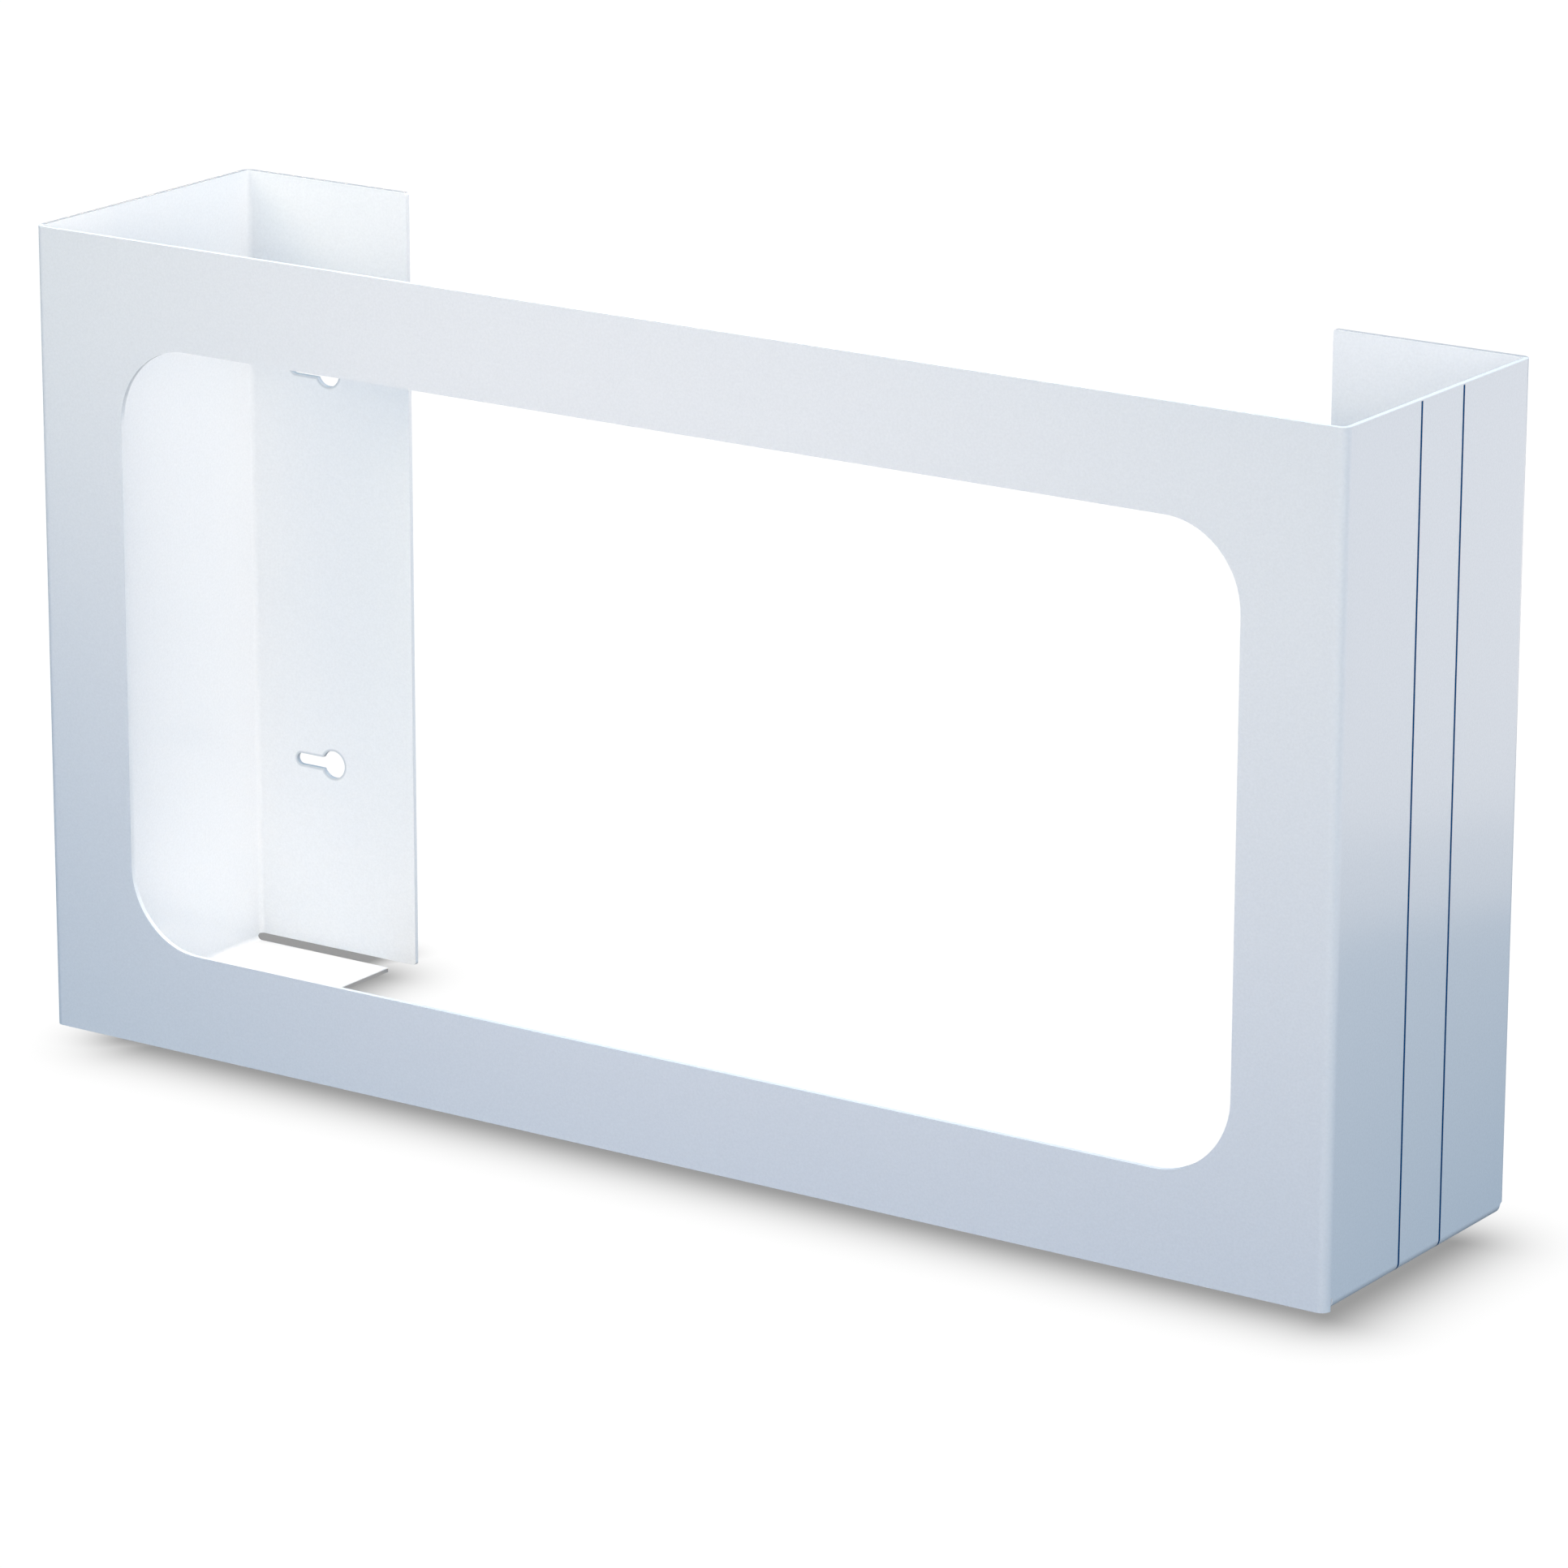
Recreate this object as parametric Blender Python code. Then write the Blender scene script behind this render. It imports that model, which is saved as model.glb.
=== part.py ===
"""Holder for boxes of disposable gloves, made from one sheet of steel.

The sheet is drawn flat, as it is cut: an outline, a window and four keyholes. It is then folded inward
four times down its height, which gives the front panel, two side walls and two rear flanges, and twice
along its bottom, which gives a floor tab under each side wall.

The flat sheet has its own coordinates: X runs along it from the middle of the front panel, Y runs up it
from the bottom edge of the front panel, and +Z is the outside face. The folded sheet stands with its
front towards -Y, and its origin is at the middle of its footprint.
"""

import math

import bmesh
import bpy
from mathutils import Vector

# Overall size, outside to outside
WIDTH = 0.457
DEPTH = 0.104
HEIGHT = 0.254

# Sheet and bends
SHEET = 0.0015
BEND_INSIDE = 0.0015
NEUTRAL_SHARE = 0.44
BEND_FACETS = 12

# Rear flanges and floor tabs, both measured from the outside of the side wall
FLANGE_WIDTH = 0.0635
FLANGE_CORNER = 0.001
TAB_WIDTH = 0.054

# Front window
WINDOW_SIDE_MARGIN = 0.032
WINDOW_TOP_MARGIN = 0.032
WINDOW_BOTTOM_MARGIN = 0.032
WINDOW_CORNER = 0.025

# Keyholes, centred on each flange across and up, all opening the same way
KEYHOLE_PITCH = 0.128
KEYHOLE_DIAMETER = 0.009
SLOT_WIDTH = 0.0038
SLOT_REACH = 0.0127

# Reliefs where two bends meet at a bottom corner
RELIEF_CLEARANCE = 0.0004
RELIEF_CORNER = 0.001
RIP_WIDTH = 0.001

# Paint
PAINT_COLOUR = (0.86, 0.88, 0.90, 1.0)
PAINT_ROUGHNESS = 0.15

# Sizes that follow from the ones above
BEND_OUTSIDE = BEND_INSIDE + SHEET
BEND_LENGTH = math.pi / 2 * (BEND_INSIDE + NEUTRAL_SHARE * SHEET)
PLAN_FLATS = (WIDTH / 2 - BEND_OUTSIDE, DEPTH - 2 * BEND_OUTSIDE, FLANGE_WIDTH - BEND_OUTSIDE)
FRONT_END = PLAN_FLATS[0]
SIDE_START = FRONT_END + BEND_LENGTH
SIDE_END = SIDE_START + PLAN_FLATS[1]
FLANGE_START = SIDE_END + BEND_LENGTH
FLANGE_END = FLANGE_START + PLAN_FLATS[2]
TAB_FLATS = (HEIGHT - BEND_OUTSIDE, TAB_WIDTH - BEND_OUTSIDE)
TAB_FOLD = BEND_OUTSIDE
TAB_END = TAB_FOLD - BEND_LENGTH - TAB_FLATS[1]
TAB_FRONT = SIDE_START + RIP_WIDTH
TAB_BACK = SIDE_END - RELIEF_CLEARANCE
RELIEF_LEVEL = TAB_FOLD + RELIEF_CLEARANCE
KEYHOLE_LEVEL = (RELIEF_LEVEL + HEIGHT) / 2

# Drawing: how far a cut may stray from its true arc, and the distance at which two points are one
ARC_TOLERANCE = 0.00002
MERGE = 0.000001


def arc(centre_x, centre_y, radius, start, end):
    """Points along an arc, in degrees, both ends included."""
    widest = math.degrees(2 * math.acos(1 - ARC_TOLERANCE / radius))
    steps = math.ceil(abs(end - start) / widest)
    points = []
    for step in range(steps + 1):
        angle = math.radians(start + (end - start) * step / steps)
        points.append((centre_x + radius * math.cos(angle), centre_y + radius * math.sin(angle)))
    return points


def window():
    """The front window, a rectangle with round corners, anticlockwise from its lower right corner."""
    side = WIDTH / 2 - WINDOW_SIDE_MARGIN - WINDOW_CORNER
    bottom = WINDOW_BOTTOM_MARGIN + WINDOW_CORNER
    top = HEIGHT - WINDOW_TOP_MARGIN - WINDOW_CORNER
    points = arc(side, bottom, WINDOW_CORNER, -90, 0)
    points += arc(side, top, WINDOW_CORNER, 0, 90)
    points += arc(-side, top, WINDOW_CORNER, 90, 180)
    points += arc(-side, bottom, WINDOW_CORNER, 180, 270)
    return points


def keyhole(centre_x, centre_y):
    """A round hole with a narrower slot that leaves it towards +X and ends in a half circle."""
    hole = KEYHOLE_DIAMETER / 2
    half_slot = SLOT_WIDTH / 2
    opening = math.degrees(math.asin(half_slot / hole))
    points = arc(centre_x, centre_y, hole, opening, 360 - opening)
    points += arc(centre_x + SLOT_REACH, centre_y, half_slot, -90, 90)
    return points


def right_half_outline():
    """The sheet's edge right of its middle, from the bottom of the front panel round to the top."""
    rip = RIP_WIDTH / 2
    points = [(SIDE_START, 0.0)]
    points += arc(SIDE_START + rip, RELIEF_LEVEL, rip, 180, 0)
    points += [(TAB_FRONT, TAB_END), (TAB_BACK, TAB_END)]
    points += arc(TAB_BACK + RELIEF_CORNER, RELIEF_LEVEL - RELIEF_CORNER, RELIEF_CORNER, 180, 90)
    corner_x = FLANGE_END - FLANGE_CORNER
    points += arc(corner_x, RELIEF_LEVEL + FLANGE_CORNER, FLANGE_CORNER, -90, 0)
    points += arc(corner_x, HEIGHT - FLANGE_CORNER, FLANGE_CORNER, 0, 90)
    return points


def blank_splines():
    """Every closed line that is cut in the flat sheet, the outer one first."""
    right = right_half_outline()
    left = [(-x, y) for x, y in reversed(right)]
    splines = [right + left, window()]
    keyhole_x = FLANGE_START + FLANGE_WIDTH / 2 - BEND_OUTSIDE
    for side in (-1, 1):
        for level in (-1, 1):
            splines.append(keyhole(side * keyhole_x, KEYHOLE_LEVEL + level * KEYHOLE_PITCH / 2))
    return splines


def flat_sheet():
    """The cut sheet before folding, as a mesh: a flat curve filled between its splines."""
    curve = bpy.data.curves.new("blank", "CURVE")
    curve.dimensions = "2D"
    curve.fill_mode = "BOTH"
    curve.extrude = SHEET / 2
    for points in blank_splines():
        spline = curve.splines.new("POLY")
        spline.points.add(len(points) - 1)
        for point, (x, y) in zip(spline.points, points):
            point.co = (x, y, 0.0, 1.0)
        spline.use_cyclic_u = True
    blank = bpy.data.objects.new("blank", curve)
    bpy.context.collection.objects.link(blank)
    graph = bpy.context.evaluated_depsgraph_get()
    mesh = bpy.data.meshes.new_from_object(blank.evaluated_get(graph))
    bpy.data.objects.remove(blank)
    return mesh


def fold_lines(start):
    """Distances across one bend at which the sheet is creased, its two ends included."""
    return [start + BEND_LENGTH * step / BEND_FACETS for step in range(BEND_FACETS + 1)]


def crease(sheet, faces, point, normal):
    """Cuts the given faces along a line, without parting them, and marks the line as a seam."""
    geometry = set(faces)
    for face in faces:
        geometry.update(face.edges)
        geometry.update(face.verts)
    cut = bmesh.ops.bisect_plane(sheet, geom=list(geometry), dist=MERGE, plane_co=point, plane_no=normal)
    for item in cut["geom_cut"]:
        if isinstance(item, bmesh.types.BMEdge):
            item.seam = True


def crease_bends(sheet):
    """Gives the sheet the creases that its bends need: all the way up it, and across each tab."""
    for side in (-1, 1):
        for start in (FRONT_END, SIDE_END):
            for distance in fold_lines(start):
                crease(sheet, sheet.faces[:], Vector((side * distance, 0, 0)), Vector((1, 0, 0)))
    for level in fold_lines(TAB_FOLD - BEND_LENGTH):
        tabs = [f for f in sheet.faces if SIDE_START < abs(f.calc_center_median().x) < SIDE_END]
        crease(sheet, tabs, Vector((0, level, 0)), Vector((0, 1, 0)))


def folded(distance, depth, flats):
    """Where a point of the sheet lies after folding, as (along, across) in the plane of the folds.

    The sheet starts along the first axis and turns a right angle towards the second after each flat but
    the last. Distance is measured along the flat sheet, and depth from its outside face into the metal.
    """
    along = Vector((1.0, 0.0))
    inward = Vector((0.0, 1.0))
    start = Vector((0.0, 0.0))
    for flat in flats[:-1]:
        if distance <= flat:
            return start + along * distance + inward * depth
        centre = start + along * flat + inward * BEND_OUTSIDE
        distance -= flat
        if distance < BEND_LENGTH:
            angle = math.pi / 2 * distance / BEND_LENGTH
            arm = BEND_OUTSIDE - depth
            return centre + along * arm * math.sin(angle) - inward * arm * math.cos(angle)
        distance -= BEND_LENGTH
        start = centre + along * BEND_OUTSIDE
        along, inward = inward, -along
    return start + along * distance + inward * depth


def fold_point(point):
    """Folds one point of the flat sheet: first the floor tab, then the side wall and the flange."""
    depth = SHEET / 2 - point.z
    drop = HEIGHT - point.y
    if point.y < TAB_FOLD and SIDE_START + MERGE < abs(point.x) < SIDE_END + MERGE:
        drop, depth = folded(drop, depth, TAB_FLATS)
    across, back = folded(abs(point.x), depth, PLAN_FLATS)
    return Vector((math.copysign(across, point.x), back - DEPTH / 2, HEIGHT - drop))


def folded_sheet():
    """The whole part: cut, creased and folded."""
    mesh = flat_sheet()
    sheet = bmesh.new()
    sheet.from_mesh(mesh)
    bmesh.ops.remove_doubles(sheet, verts=sheet.verts[:], dist=MERGE)
    crease_bends(sheet)
    bmesh.ops.remove_doubles(sheet, verts=sheet.verts[:], dist=MERGE)
    bmesh.ops.dissolve_limit(
        sheet, angle_limit=math.radians(1), verts=sheet.verts[:], edges=sheet.edges[:], delimit={"SEAM"}
    )
    bmesh.ops.triangulate(sheet, faces=sheet.faces[:])
    for vertex in sheet.verts:
        vertex.co = fold_point(vertex.co)
    sheet.to_mesh(mesh)
    sheet.free()
    mesh.shade_smooth()
    mesh.set_sharp_from_angle(angle=math.radians(30))
    mesh.name = "folded_sheet"
    part = bpy.data.objects.new("folded_sheet", mesh)
    bpy.context.collection.objects.link(part)
    return part


def white_powder_coat():
    """White powder coat, semi-gloss and very slightly blue."""
    material = bpy.data.materials.new("white_powder_coat")
    material.use_nodes = True
    shader = material.node_tree.nodes["Principled BSDF"]
    shader.inputs["Base Color"].default_value = PAINT_COLOUR
    shader.inputs["Roughness"].default_value = PAINT_ROUGHNESS
    shader.inputs["Metallic"].default_value = 0.0
    return material


for old in list(bpy.data.objects):
    bpy.data.objects.remove(old)
folded_sheet().data.materials.append(white_powder_coat())
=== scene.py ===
"""The finish, light and camera of a glove dispenser: one sheet of steel, folded and powder coated white.

The folded sheet keeps the shape that it has in the frame. Its cut edges get the small round that the coat
gives them. Its surface gets the coat's grain, darker rims round the keyholes, painted shade on the tabs'
and top cut edges, and the two printed lines on the right wall.
"""
import math

import bmesh
import bpy
import numpy as np
from mathutils import Matrix, Vector


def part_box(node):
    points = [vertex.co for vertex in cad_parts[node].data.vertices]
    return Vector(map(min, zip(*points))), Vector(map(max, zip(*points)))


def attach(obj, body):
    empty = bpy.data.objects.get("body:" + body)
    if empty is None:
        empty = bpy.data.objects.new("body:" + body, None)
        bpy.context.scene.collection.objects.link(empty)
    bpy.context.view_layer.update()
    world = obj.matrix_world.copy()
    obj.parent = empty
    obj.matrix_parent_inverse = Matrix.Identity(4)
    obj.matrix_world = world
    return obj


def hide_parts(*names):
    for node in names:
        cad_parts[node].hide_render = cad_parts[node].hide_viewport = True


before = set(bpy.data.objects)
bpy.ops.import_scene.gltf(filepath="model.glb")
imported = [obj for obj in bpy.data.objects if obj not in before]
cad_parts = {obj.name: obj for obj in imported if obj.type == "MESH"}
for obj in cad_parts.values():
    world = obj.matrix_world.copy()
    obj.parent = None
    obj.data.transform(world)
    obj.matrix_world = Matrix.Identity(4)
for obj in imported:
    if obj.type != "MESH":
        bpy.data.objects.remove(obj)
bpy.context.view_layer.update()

LOW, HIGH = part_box("folded_sheet")

# Sheet: its thickness, the outside radius of its bends, its floor tabs and its rear flanges
SHEET = 0.0015
OUTSIDE_RADIUS = 0.003
TAB_WIDTH = 0.054
FLANGE_WIDTH = 0.0635
FLANGE_FOOT = 0.0034

# Round of the cut edges, the angle past which an edge gets it, what is merged before it, and how strongly
# large flat faces keep their shading after it
EDGE_ROUND = 0.0006
EDGE_STEPS = 3
SHARP_ANGLE = math.radians(40)
FLAT_ANGLE = math.radians(0.5)
WELD = 0.00001
FLAT_WEIGHT = 100

# Keyholes in the rear flanges. Their rims are darker up to RIM_FULL, and the darkening fades over RIM_FADE.
KEYHOLE_X = HIGH.x - FLANGE_WIDTH / 2
KEYHOLE_Z = (LOW.z + FLANGE_FOOT + HIGH.z) / 2
KEYHOLE_HALF_PITCH = 0.064
HOLE_RADIUS = 0.0045
SLOT_RADIUS = 0.0019
SLOT_REACH = 0.0127
RIM_FULL = 0.0003
RIM_FADE = 0.0006

# Painted shade on cut edges: how far into the sheet the painted shade on the tabs' and the top edges reaches
TAB_EDGE_X = HIGH.x - TAB_WIDTH
TAB_EDGE_DEPTH = 0.0003
TOP_EDGE_DEPTH = 0.0002

# Printed lines on the right wall: their width, their middles, and how far the print stays from the top edge,
# reaches into the coat and stays from the flat underside
LINE_WIDTH = 0.001
LINE_PLACES = (-0.0108, 0.0128)
LINE_TOP_GAP = 0.0004
LINE_DEPTH = 0.0007
LINE_FOOT_GAP = 0.00006

# Camera, as the photograph's perspective gives it
IMAGE_SIDE = 1932
SENSOR = 36.0
FOCAL_PIXELS = 9073.93
AZIMUTH = 34.07
ELEVATION = 16.40
ROLL = 0.16
DISTANCE = 2.18219
AIM_RIGHT = -0.00877
AIM_UP = 0.02254
NEAR_CLIP = 0.1
FAR_CLIP = 30.0

# Colours, linear. The coat's grain runs from light to dark.
COAT_LIGHT = (0.91, 0.93, 0.95, 1.0)
COAT_DARK = (0.81, 0.83, 0.85, 1.0)
COAT_RIM = (0.60, 0.64, 0.68, 1.0)
# Painted shade on the floor tabs' inner cut edges
TAB_EDGE_SHADE = (0.36, 0.36, 0.36, 1.0)
# Painted shade on the top cut edges of the left wall and the rear flanges
TOP_EDGE_SHADE = (0.48, 0.475, 0.48, 1.0)
LINE_BLUE = (0.012, 0.075, 0.20, 1.0)
FLOOR_WHITE = (1.03, 1.03, 1.03, 1.0)
BLACK = (0.0, 0.0, 0.0, 1.0)
SURROUND = (0.532, 0.760, 1.0, 1.0)

# Gloss of the coat and of the print, and the coat's grain
COAT_GLOSS = 0.5
LINE_GLOSS = 0.0
COAT_ROUGHNESS = 0.15
GRAIN_SCALE = 1400.0
GRAIN_DETAIL = 2.0
GRAIN_HEIGHT = 0.0001
GRAIN_STRENGTH = 0.15

# Studio. Each light has a name, a place, the point it is turned to, a width and height, the angle that it
# fans out to, a power in watts and a colour.
FLOOR_HALF = 6.0
FLOOR_DROP = 0.0002
CARD_DROP = 0.001
STAGE_ROUGHNESS = 0.9
MIDDLE = (0.0, 0.0, 0.127)
LIGHTS = (
    ("front_right", (1.2, -1.2, 0.4), MIDDLE, (1.0, 0.8), 180, 7.84, (1.0, 0.871, 0.813)),
    ("front_left", (-0.5, -0.9, 0.5), (0.1, 0.05, 0.1), (0.3, 0.3), 40, 0.097, (1.0, 0.678, 0.758)),
    ("front_upper", (-0.2, -0.6, 0.45), (-0.05, -0.05, 0.25), (1.3, 0.15), 40, 0.273, (1.0, 0.858, 0.568)),
    ("through_window", (0.6, -1.2, 0.45), (-0.2, 0.05, 0.1), (0.4, 0.3), 30, 0.133, (1.0, 0.924, 0.773)),
    ("inside", (0.0, 0.0, 0.6), MIDDLE, (0.4, 0.15), 180, 1.836, (1.0, 0.875, 0.748)),
    ("over_tab", (-0.2, 0.0, 0.7), (-0.2, 0.0, 0.0), (0.12, 0.06), 16, 0.022, (1.0, 0.735, 0.466)),
)

# Contact shadow painted into the floor's glow: its depth, how it falls off, and the rectangles that it
# starts from, under the front panel, the right wall, the left tab and the left flange. Each has two corners
# and a fading distance.
SHADE_DEPTH = 0.68
SHADE_POWER = 1.5
SHADES = (
    ((-0.1890, LOW.y), (HIGH.x, -0.050), 0.018),
    ((0.2265, LOW.y), (HIGH.x, 0.020), 0.018),
    ((-0.2000, -0.050), (-0.1765, 0.042), 0.014),
    ((-0.2360, 0.053), (-0.1870, 0.064), 0.008),
)

# Glowing cards just under the floor, which the camera doesn't see: name, corners, turn and colour
CARDS = (
    ("near_card", (0.4815, -0.4), (0.570, 0.7), 31.3, (1.150, 1.043, 0.965, 1.0)),
    ("far_card", (0.570, -0.4), (1.4, 0.7), 31.3, (1.865, 1.658, 1.485, 1.0)),
    ("inner_card", (-0.226, -0.05), (0.226, 0.05), 0.0, (0.764, 0.704, 0.649, 1.0)),
)


def link(material, source, target):
    """Joins two sockets of a material or a world."""
    material.node_tree.links.new(source, target)


def node(material, kind, **settings):
    """A new node of a material or a world, with its settings."""
    made = material.node_tree.nodes.new(kind)
    for name, value in settings.items():
        setattr(made, name, value)
    return made


def math_node(material, operation, first, second=None, clamp=False):
    """A Math node whose inputs are sockets or numbers, and its result."""
    made = node(material, "ShaderNodeMath", operation=operation, use_clamp=clamp)
    for index, value in enumerate((first, second)):
        if value is None:
            continue
        if isinstance(value, (int, float)):
            made.inputs[index].default_value = value
        else:
            link(material, value, made.inputs[index])
    return made.outputs[0]


def length(material, first, second):
    """The length of a vector that has two components."""
    squares = [math_node(material, "MULTIPLY", value, value) for value in (first, second)]
    return math_node(material, "SQRT", math_node(material, "ADD", *squares))


def all_of(material, *masks):
    """The product of masks, which is 1 only where all of them are."""
    result = masks[0]
    for mask in masks[1:]:
        result = math_node(material, "MULTIPLY", result, mask)
    return result


def object_axes(material):
    """The x, y and z of a point, in the object's own coordinates."""
    axes = node(material, "ShaderNodeSeparateXYZ")
    link(material, node(material, "ShaderNodeTexCoord").outputs["Object"], axes.inputs[0])
    return tuple(axes.outputs)


def mixed(material, factor, first, second):
    """A colour between two others, each a socket or a value."""
    mix = node(material, "ShaderNodeMix", data_type="RGBA")
    link(material, factor, mix.inputs["Factor"])
    for name, colour in (("A", first), ("B", second)):
        if isinstance(colour, tuple):
            mix.inputs[name].default_value = colour
        else:
            link(material, colour, mix.inputs[name])
    return mix.outputs["Result"]


def printed_lines(material, x, y, z):
    """A mask that is 1 on the two printed lines.

    A point is on the coat's outer skin if its distance from the axis of the bottom bend is close to the
    bend's outer radius. Above the bend that distance is taken level, so it follows the flat wall too.
    """
    across = math_node(material, "MAXIMUM", math_node(material, "SUBTRACT", x, HIGH.x - OUTSIDE_RADIUS), 0.0)
    below = math_node(material, "MAXIMUM", math_node(material, "SUBTRACT", LOW.z + OUTSIDE_RADIUS, z), 0.0)
    outer = math_node(material, "GREATER_THAN", length(material, across, below), OUTSIDE_RADIUS - LINE_DEPTH)
    right = math_node(material, "GREATER_THAN", across, LINE_FOOT_GAP)
    lower = math_node(material, "LESS_THAN", z, HIGH.z - LINE_TOP_GAP)
    lines = []
    for place in LINE_PLACES:
        offset = math_node(material, "ABSOLUTE", math_node(material, "SUBTRACT", y, place))
        lines.append(math_node(material, "LESS_THAN", offset, LINE_WIDTH / 2))
    return all_of(material, math_node(material, "MAXIMUM", *lines), outer, right, lower)


def keyhole_rims(material, x, y, z):
    """A mask that is 1 at the keyholes' edges and fades away from them.

    It takes a point's distance from the nearest keyhole, whose slot is a round-ended bar and whose hole is
    a disc. The four keyholes are alike, so the point is first moved to one of them.
    """
    side = math_node(material, "MULTIPLY", math_node(material, "SIGN", x), KEYHOLE_X)
    along = math_node(material, "SUBTRACT", x, side)
    level = math_node(material, "ABSOLUTE", math_node(material, "SUBTRACT", z, KEYHOLE_Z))
    up = math_node(material, "SUBTRACT", level, KEYHOLE_HALF_PITCH)
    nearest = math_node(material, "MINIMUM", math_node(material, "MAXIMUM", along, -SLOT_REACH), 0.0)
    beside = math_node(material, "SUBTRACT", along, nearest)
    hole = math_node(material, "SUBTRACT", length(material, along, up), HOLE_RADIUS)
    slot = math_node(material, "SUBTRACT", length(material, beside, up), SLOT_RADIUS)
    steps = math_node(material, "DIVIDE", math_node(material, "MINIMUM", hole, slot), RIM_FADE)
    fade = math_node(material, "SUBTRACT", 1.0 + RIM_FULL / RIM_FADE, steps, clamp=True)
    rear = math_node(material, "GREATER_THAN", y, HIGH.y - OUTSIDE_RADIUS)
    return all_of(material, fade, rear)


def shaded_tab_edges(material, x, y, z):
    """A mask of painted shade, 1 on the floor tabs' inner cut edges, which face each other across the open
    bottom.
    """
    inner = math_node(material, "LESS_THAN", math_node(material, "ABSOLUTE", x), TAB_EDGE_X + TAB_EDGE_DEPTH)
    lower = math_node(material, "LESS_THAN", z, LOW.z + SHEET - TAB_EDGE_DEPTH)
    behind = math_node(material, "GREATER_THAN", y, LOW.y + OUTSIDE_RADIUS)
    return all_of(material, inner, lower, behind)


def shaded_top_edges(material, x, y, z):
    """A mask of painted shade, 1 on the top cut edges of the left wall and of the rear flanges."""
    top = math_node(material, "GREATER_THAN", z, HIGH.z - TOP_EDGE_DEPTH)
    left = math_node(material, "LESS_THAN", x, LOW.x + SHEET)
    rear = math_node(material, "GREATER_THAN", y, HIGH.y - SHEET)
    behind = math_node(material, "GREATER_THAN", y, LOW.y + OUTSIDE_RADIUS)
    return all_of(material, math_node(material, "MAXIMUM", left, rear), behind, top)


def white_powder_coat():
    """White powder coat: fine grain, darker keyhole rims, painted shade on some cut edges, two printed
    lines.
    """
    material = bpy.data.materials.new("white_powder_coat")
    material.use_nodes = True
    shader = material.node_tree.nodes["Principled BSDF"]
    axes = object_axes(material)
    lines = printed_lines(material, *axes)
    grain = node(material, "ShaderNodeTexNoise", noise_dimensions="3D")
    grain.inputs["Scale"].default_value = GRAIN_SCALE
    grain.inputs["Detail"].default_value = GRAIN_DETAIL
    link(material, node(material, "ShaderNodeTexCoord").outputs["Object"], grain.inputs["Vector"])
    coat = mixed(material, grain.outputs["Fac"], COAT_LIGHT, COAT_DARK)
    coat = mixed(material, keyhole_rims(material, *axes), coat, COAT_RIM)
    # Painted shade on the tabs' inner cut edges and on the top cut edges of the left wall and rear flanges
    coat = mixed(material, shaded_tab_edges(material, *axes), coat, TAB_EDGE_SHADE)
    coat = mixed(material, shaded_top_edges(material, *axes), coat, TOP_EDGE_SHADE)
    link(material, mixed(material, lines, coat, LINE_BLUE), shader.inputs["Base Color"])
    gloss = math_node(material, "MULTIPLY", lines, LINE_GLOSS - COAT_GLOSS)
    gloss = math_node(material, "ADD", gloss, COAT_GLOSS)
    link(material, gloss, shader.inputs["Specular IOR Level"])
    shader.inputs["Roughness"].default_value = COAT_ROUGHNESS
    bump = node(material, "ShaderNodeBump")
    bump.inputs["Strength"].default_value = GRAIN_STRENGTH
    bump.inputs["Distance"].default_value = GRAIN_HEIGHT
    link(material, grain.outputs["Fac"], bump.inputs["Height"])
    link(material, bump.outputs["Normal"], shader.inputs["Normal"])
    return material


def coated_sheet():
    """The frame's folded sheet with rounded cut edges, ready for its coat."""
    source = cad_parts["folded_sheet"].data
    sheet = bmesh.new()
    sheet.from_mesh(source)
    bmesh.ops.remove_doubles(sheet, verts=sheet.verts[:], dist=WELD)
    bmesh.ops.dissolve_limit(sheet, angle_limit=FLAT_ANGLE, verts=sheet.verts[:], edges=sheet.edges[:])
    mesh = bpy.data.meshes.new("coated_sheet")
    sheet.to_mesh(mesh)
    sheet.free()
    mesh.shade_smooth()
    piece = bpy.data.objects.new("coated_sheet", mesh)
    bpy.context.collection.objects.link(piece)
    bevel = piece.modifiers.new("round", "BEVEL")
    bevel.width = EDGE_ROUND
    bevel.segments = EDGE_STEPS
    bevel.limit_method = "ANGLE"
    bevel.angle_limit = SHARP_ANGLE
    normals = piece.modifiers.new("flats", "WEIGHTED_NORMAL")
    normals.mode = "FACE_AREA"
    normals.weight = FLAT_WEIGHT
    normals.keep_sharp = False
    return piece


def stage_plate(name, low, high, level, turn, material):
    """A flat level rectangle of the studio, between two corners.

    Its four corners, each a row, are turned together about the upright axis through the origin.
    """
    angle = math.radians(turn)
    turning = np.array([(math.cos(angle), math.sin(angle)), (-math.sin(angle), math.cos(angle))])
    corners = np.array([low, (high[0], low[1]), high, (low[0], high[1])]) @ turning
    points = np.column_stack([corners, np.full(len(corners), level)])
    mesh = bpy.data.meshes.new(name)
    mesh.from_pydata(points.tolist(), [], [(0, 1, 2, 3)])
    mesh.materials.append(material)
    plate = bpy.data.objects.new(name, mesh)
    bpy.context.collection.objects.link(plate)
    return plate


def glowing_material(name, glow):
    """A dull black surface that glows by itself."""
    material = bpy.data.materials.new(name)
    material.use_nodes = True
    shader = material.node_tree.nodes["Principled BSDF"]
    shader.inputs["Base Color"].default_value = BLACK
    shader.inputs["Roughness"].default_value = STAGE_ROUGHNESS
    shader.inputs["Specular IOR Level"].default_value = 0.0
    shader.inputs["Emission Color"].default_value = glow
    shader.inputs["Emission Strength"].default_value = 1.0
    return material


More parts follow.
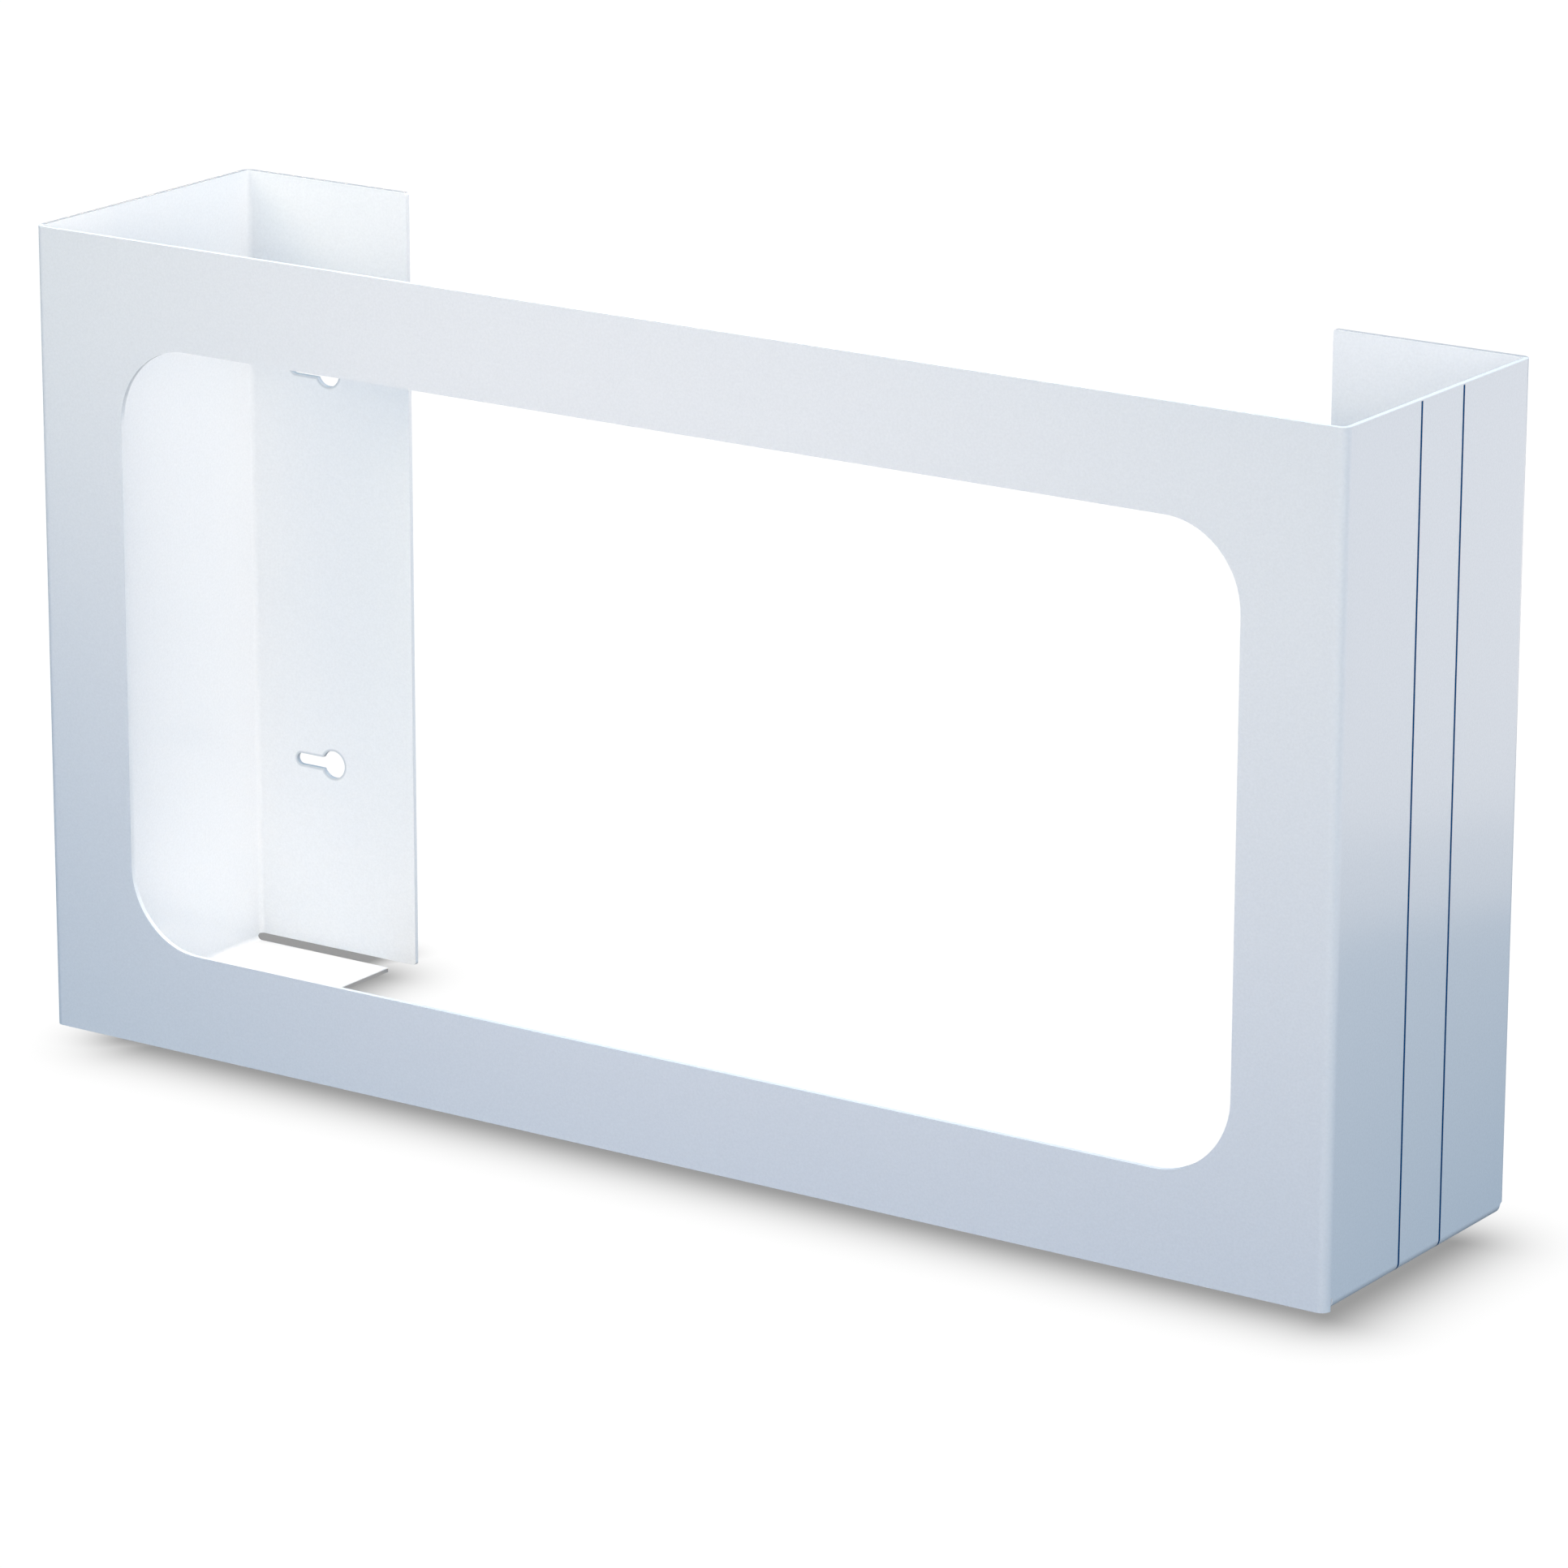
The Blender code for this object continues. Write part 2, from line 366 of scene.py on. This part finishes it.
def contact_shade(material):
    """The share of the floor's glow left under the painted shadow at a point: 1 far from the sheet, and less
    close to it.

    The shade of each rectangle fades with the distance from it, and the deepest one counts.
    """
    x, y = object_axes(material)[:2]
    light = 1.0
    for low, high, fade in SHADES:
        outside = []
        for axis, start, end in ((x, low[0], high[0]), (y, low[1], high[1])):
            before = math_node(material, "SUBTRACT", start, axis)
            after = math_node(material, "SUBTRACT", axis, end)
            beyond = math_node(material, "MAXIMUM", before, after)
            outside.append(math_node(material, "MAXIMUM", beyond, 0.0))
        distance = math_node(material, "DIVIDE", length(material, *outside), fade)
        fall = math_node(material, "MULTIPLY", math_node(material, "POWER", distance, SHADE_POWER), -1.0)
        shade = math_node(material, "MULTIPLY", math_node(material, "EXPONENT", fall), SHADE_DEPTH)
        light = math_node(material, "MINIMUM", light, math_node(material, "SUBTRACT", 1.0, shade))
    return light


def studio_floor():
    """A wide pale floor under the sheet, with a soft contact shadow painted into it close to the sheet.

    It glows evenly white apart from that painted shadow, and lights nothing itself, so the sheet's lower
    part keeps its own shade.
    """
    material = glowing_material("pale_floor", FLOOR_WHITE)
    # The painted contact shadow darkens the floor's glow
    glow = mixed(material, contact_shade(material), BLACK, FLOOR_WHITE)
    shader = material.node_tree.nodes["Principled BSDF"]
    link(material, glow, shader.inputs["Emission Color"])
    low = (-FLOOR_HALF, -FLOOR_HALF)
    high = (FLOOR_HALF, FLOOR_HALF)
    floor = stage_plate("studio_floor", low, high, LOW.z - FLOOR_DROP, 0.0, material)
    floor.visible_diffuse = False
    floor.visible_glossy = False
    floor.visible_shadow = False


def studio_cards():
    """Pale cards. Two lie behind and to the right, and show as soft steps in the right wall's gloss. One
    lies under the sheet, and lights its inside from below.
    """
    for name, low, high, turn, glow in CARDS:
        card = stage_plate(name, low, high, LOW.z - CARD_DROP, turn, glowing_material(name, glow))
        card.visible_camera = False
        card.visible_shadow = False


def softbox(name, place, aim, size, fan, power, colour):
    """A rectangular area light at one place, turned towards another."""
    light = bpy.data.lights.new(name, "AREA")
    light.shape = "RECTANGLE"
    light.size, light.size_y = size
    light.spread = math.radians(fan)
    light.energy = power
    light.color = colour
    box = bpy.data.objects.new(name, light)
    box.location = place
    box.rotation_euler = (Vector(place) - Vector(aim)).to_track_quat("Z", "Y").to_euler()
    box.visible_camera = False
    bpy.context.collection.objects.link(box)


def studio_light():
    """A cool surround, dark below and brightest overhead, and a set of soft lights."""
    world = bpy.data.worlds.new("surround")
    world.use_nodes = True
    background = world.node_tree.nodes["Background"]
    background.inputs["Color"].default_value = SURROUND
    axes = node(world, "ShaderNodeSeparateXYZ")
    link(world, node(world, "ShaderNodeTexCoord").outputs["Generated"], axes.inputs[0])
    height = math_node(world, "MULTIPLY", math_node(world, "ADD", axes.outputs["Z"], 1.0), 0.5)
    link(world, height, background.inputs["Strength"])
    bpy.context.scene.world = world
    for settings in LIGHTS:
        softbox(*settings)


def camera_place(centre):
    """The camera's position and its right, up and back directions.

    Back points from the object to the camera. Right is level before the roll, and up is square to both.
    """
    azimuth, elevation, roll = (math.radians(angle) for angle in (AZIMUTH, ELEVATION, ROLL))
    level = Vector((math.cos(azimuth), math.sin(azimuth), 0.0))
    ahead = Vector((-math.sin(azimuth), math.cos(azimuth), 0.0))
    back = Vector((0.0, 0.0, math.sin(elevation))) - ahead * math.cos(elevation)
    upright = back.cross(level)
    right = level * math.cos(roll) + upright * math.sin(roll)
    up = upright * math.cos(roll) - level * math.sin(roll)
    place = centre + back * DISTANCE - right * AIM_RIGHT - up * AIM_UP
    return place, right, up, back


def photograph_camera():
    """A long lens at the photograph's angle."""
    place, right, up, back = camera_place((LOW + HIGH) / 2)
    camera = bpy.data.cameras.new("camera")
    camera.sensor_width = SENSOR
    camera.lens = FOCAL_PIXELS / IMAGE_SIDE * SENSOR
    camera.clip_start = NEAR_CLIP
    camera.clip_end = FAR_CLIP
    holder = bpy.data.objects.new("camera", camera)
    turn = Matrix((right, up, back)).transposed().to_4x4()
    holder.matrix_world = Matrix.Translation(place) @ turn
    bpy.context.collection.objects.link(holder)
    bpy.context.scene.camera = holder


sheet = coated_sheet()
sheet.data.materials.clear()
sheet.data.materials.append(white_powder_coat())
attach(sheet, "root")
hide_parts("folded_sheet")
studio_floor()
studio_cards()
studio_light()
photograph_camera()
bpy.context.scene.view_settings.view_transform = "Standard"
bpy.context.scene.view_settings.look = "None"
